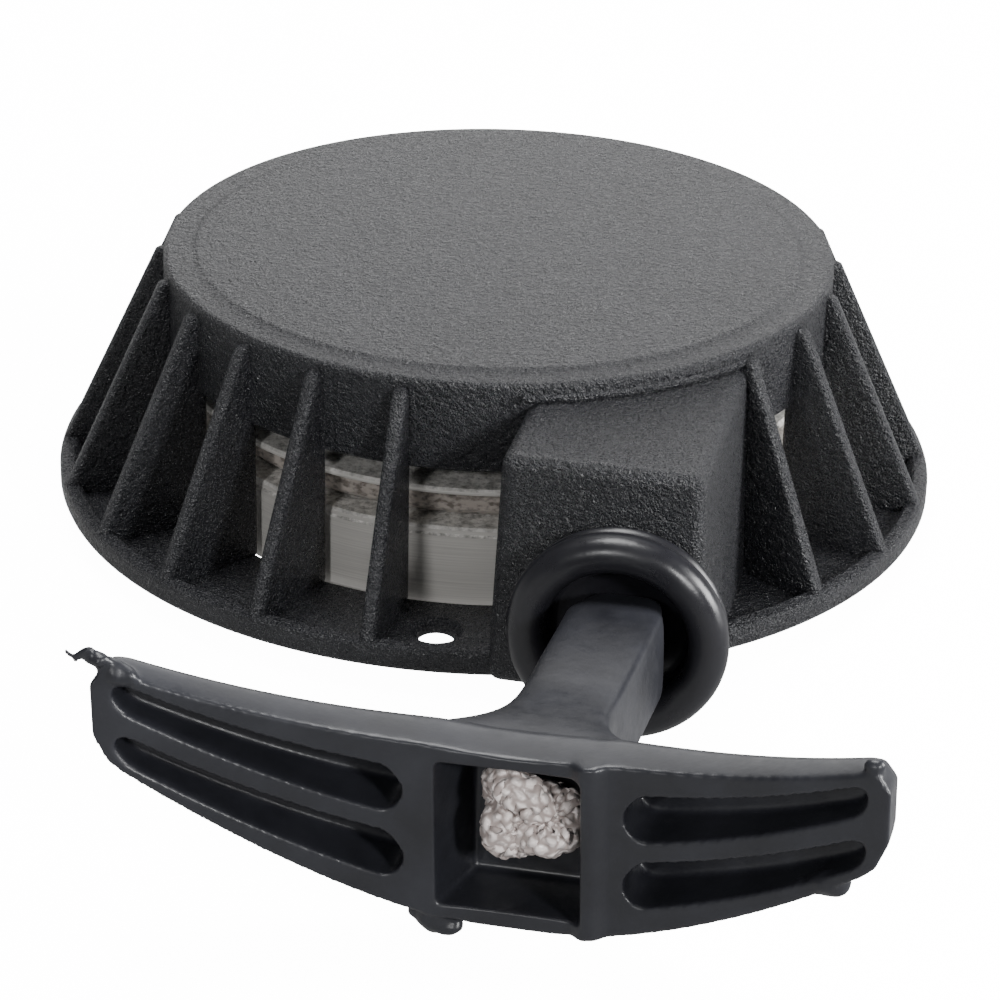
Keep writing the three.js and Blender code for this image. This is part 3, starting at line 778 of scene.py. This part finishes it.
def cordAlong(name, points, radius, sides, closed=False):
    # a round-bevelled curve made a mesh, with a map in millimetres that runs along and round it
    curve = bpy.data.curves.new(name, 'CURVE')
    curve.dimensions = '3D'
    spline = curve.splines.new('NURBS')
    spline.points.add(len(points) - 1)
    for knotPoint, place in zip(spline.points, points):
        knotPoint.co = (*place, 1)
    spline.use_endpoint_u = not closed
    spline.use_cyclic_u = closed
    spline.order_u = 4
    curve.resolution_u = 8
    curve.bevel_depth = radius
    curve.bevel_resolution = sides // 4
    curve.use_fill_caps = not closed
    cordObject = bpy.data.objects.new(name, curve)
    bpy.context.collection.objects.link(cordObject)
    makeActive(cordObject)
    bpy.ops.object.convert(target='MESH')
    piece = bpy.context.object
    piece.name = name
    layer = piece.data.uv_layers[0] if piece.data.uv_layers else piece.data.uv_layers.new(name="cordMap")
    layer.name = "cordMap"
    length = sum((Vector(points[i + 1]) - Vector(points[i])).length for i in range(len(points) - 1))
    for item in layer.data:
        item.uv = (item.uv[0] * length / mm, item.uv[1] * 2 * math.pi * radius / mm)
    makeActive(piece)
    bpy.ops.object.shade_smooth()
    return piece


def guidePoint(y):
    return toGuide @ Vector((guideBox["x"] * mm, y * mm, guideBox["z"] * mm))


def handlePoint(x, y, z):
    return toHandle @ (Vector((x, y, z)) * mm)


ropeRoute = [guidePoint(y) for y in (-33, -42, -52, -58, -62)]
ropeRoute += [handlePoint(0, y, 0) for y in (47, 40, 30, 20, 14, 9.6)]
pullRope = cordAlong("pullRope", ropeRoute, ropeFacts["radius"] * mm, ropeFacts["sides"])
pullRope.data.materials.clear()
pullRope.data.materials.append(paleBraid)
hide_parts("rope_run")
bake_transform(pullRope)


knot = {"place": (1.0, 2.9, 2.5), "lean": 32, "lobe": (1.52, 1.3, 1.2), "strand": 0.8, "twist": 3, "bulge": 0.36}


def makeKnot():
    # an overhand knot drawn tight: three lobes of thick cord, its plait raised on the surface
    k = knot
    points = []
    for step in range(48):
        t = step / 48 * 2 * math.pi
        x = (math.sin(t) + 2 * math.sin(2 * t)) * k["lobe"][0]
        z = (math.cos(t) - 2 * math.cos(2 * t)) * k["lobe"][2]
        y = -math.sin(3 * t) * k["lobe"][1]
        points.append(Vector((x, y, z)) * mm)
    body = cordAlong("ropeKnot", points, ropeFacts["knotR"] * mm, 40, closed=True)
    layer = body.data.uv_layers["cordMap"].data
    raised = {}
    around = 2 * math.pi * ropeFacts["knotR"]
    for loop in body.data.loops:
        along, about = layer[loop.index].uv
        first = math.sin(2 * math.pi * (along / k["strand"] / 2.2 + k["twist"] * about / around))
        second = math.sin(2 * math.pi * (along / k["strand"] / 2.2 - k["twist"] * about / around))
        raised[loop.vertex_index] = max(first, second)
    for vertex in body.data.vertices:
        lump = noise.noise(vertex.co * 330) * 0.7
        vertex.co += vertex.normal * (raised.get(vertex.index, 0) * k["bulge"] + lump) * mm
    turn = Matrix.Rotation(math.radians(k["lean"]), 4, 'Y')
    body.data.transform(toHandle @ Matrix.Translation(Vector(k["place"]) * mm) @ turn)
    return body


ropeKnot = makeKnot()
ropeKnot.data.materials.clear()
ropeKnot.data.materials.append(glazedBraid)
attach(ropeKnot, "handle")
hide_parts("handle_knot")
print("starter: rope and knot made")


finishOf = {
    "spring_case": blackSteel, "recoil_spring": springSteel, "spring_cover": zincSteel,
    "cover_screw_1": zincSteel, "cover_screw_2": zincSteel, "cover_screw_3": zincSteel,
    "drive_cup": zincSteel, "cup_rivet_1": castAluminium, "cup_rivet_2": castAluminium, "cup_rivet_3": castAluminium,
    "reel_bush": bronze, "thrust_washer": zincSteel, "wave_washer": springSteel, "retaining_washer": zincSteel,
    # the wound rope and the reel knot take the painted-shade copy of the rope
    "lock_washer": blackSteel, "center_screw": zincSteel, "rope_coil": shadedWoundRope, "reel_knot": shadedWoundRope,
    "guide_clip": springSteel, "knot_washer": zincSteel,
}
for nodeName, material in finishOf.items():
    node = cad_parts[nodeName]
    node.data.materials.clear()
    node.data.materials.append(material)
print("starter: node materials set")


studio = {
    "camera": (0, -0.41880, 0.20502), "cameraTurn": (63.28682, -1.22293, 0.48551), "lens": 120.283,
    "floorZ": -0.0028, "floorGlow": 14, "cardGlow": 0.4, "world": 0.13,
    "backLight": {"place": (0.05, 0.85, 0.45), "size": 0.9, "power": 4.6},
    "topLight": {"place": (-0.1, 0.1, 0.9), "size": 0.4, "power": 8},
    "leftLight": {"place": (-0.38, -0.85, 0.46), "size": 0.12, "power": 2.6},
    "rightLight": {"place": (0.85, -0.1, 0.3), "size": 0.45, "power": 15},
    "frontLight": {"place": (0.5, -0.85, 0.45), "size": 0.12, "power": 7.5},
}


def addSoftLight(name, place, size, power, target=(0, -0.03, 0.01)):
    data = bpy.data.lights.new(name, 'AREA')
    data.shape = 'SQUARE'
    data.size = size
    data.energy = power
    lamp = bpy.data.objects.new(name, data)
    bpy.context.collection.objects.link(lamp)
    lamp.location = place
    lamp.rotation_euler = (Vector(target) - Vector(place)).to_track_quat('-Z', 'Y').to_euler()
    return lamp


def makeStage():
    deselectAll()
    bpy.ops.mesh.primitive_plane_add(size=8, location=(0, 0, studio["floorZ"]))
    floor = newest("floor")
    material, nodes, links, shader, place = newMaterial("paleFloor", (0.92, 0.92, 0.92), 0.9)
    shader.inputs["Emission Color"].default_value = (1, 1, 1, 1)
    shader.inputs["Emission Strength"].default_value = studio["floorGlow"]
    floor.data.materials.append(material)
    floor.visible_diffuse = False
    floor.visible_glossy = False
    # a softer card under the floor gives the part its light from below
    deselectAll()
    bpy.ops.mesh.primitive_plane_add(size=4, location=(0, 0, studio["floorZ"] - 0.002))
    card = newest("bounceCard")
    material, nodes, links, shader, place = newMaterial("cardWhite", (0.8, 0.8, 0.8), 0.9)
    shader.inputs["Emission Color"].default_value = (1, 1, 1, 1)
    shader.inputs["Emission Strength"].default_value = studio["cardGlow"]
    card.data.materials.append(material)
    card.visible_camera = False
    world = bpy.data.worlds.new("studio")
    bpy.context.scene.world = world
    world.use_nodes = True
    back = world.node_tree.nodes["Background"]
    back.inputs["Color"].default_value = (1, 1, 1, 1)
    back.inputs["Strength"].default_value = studio["world"]
    for name in ("backLight", "topLight", "leftLight", "rightLight", "frontLight"):
        addSoftLight(name, **studio[name])
    lens = bpy.data.cameras.new("camera")
    lens.lens = studio["lens"]
    lens.sensor_width = 36
    lens.clip_start = 0.01
    view = bpy.data.objects.new("camera", lens)
    bpy.context.collection.objects.link(view)
    view.location = studio["camera"]
    view.rotation_euler = [math.radians(angle) for angle in studio["cameraTurn"]]
    bpy.context.scene.camera = view


makeStage()
print("starter: stage set")
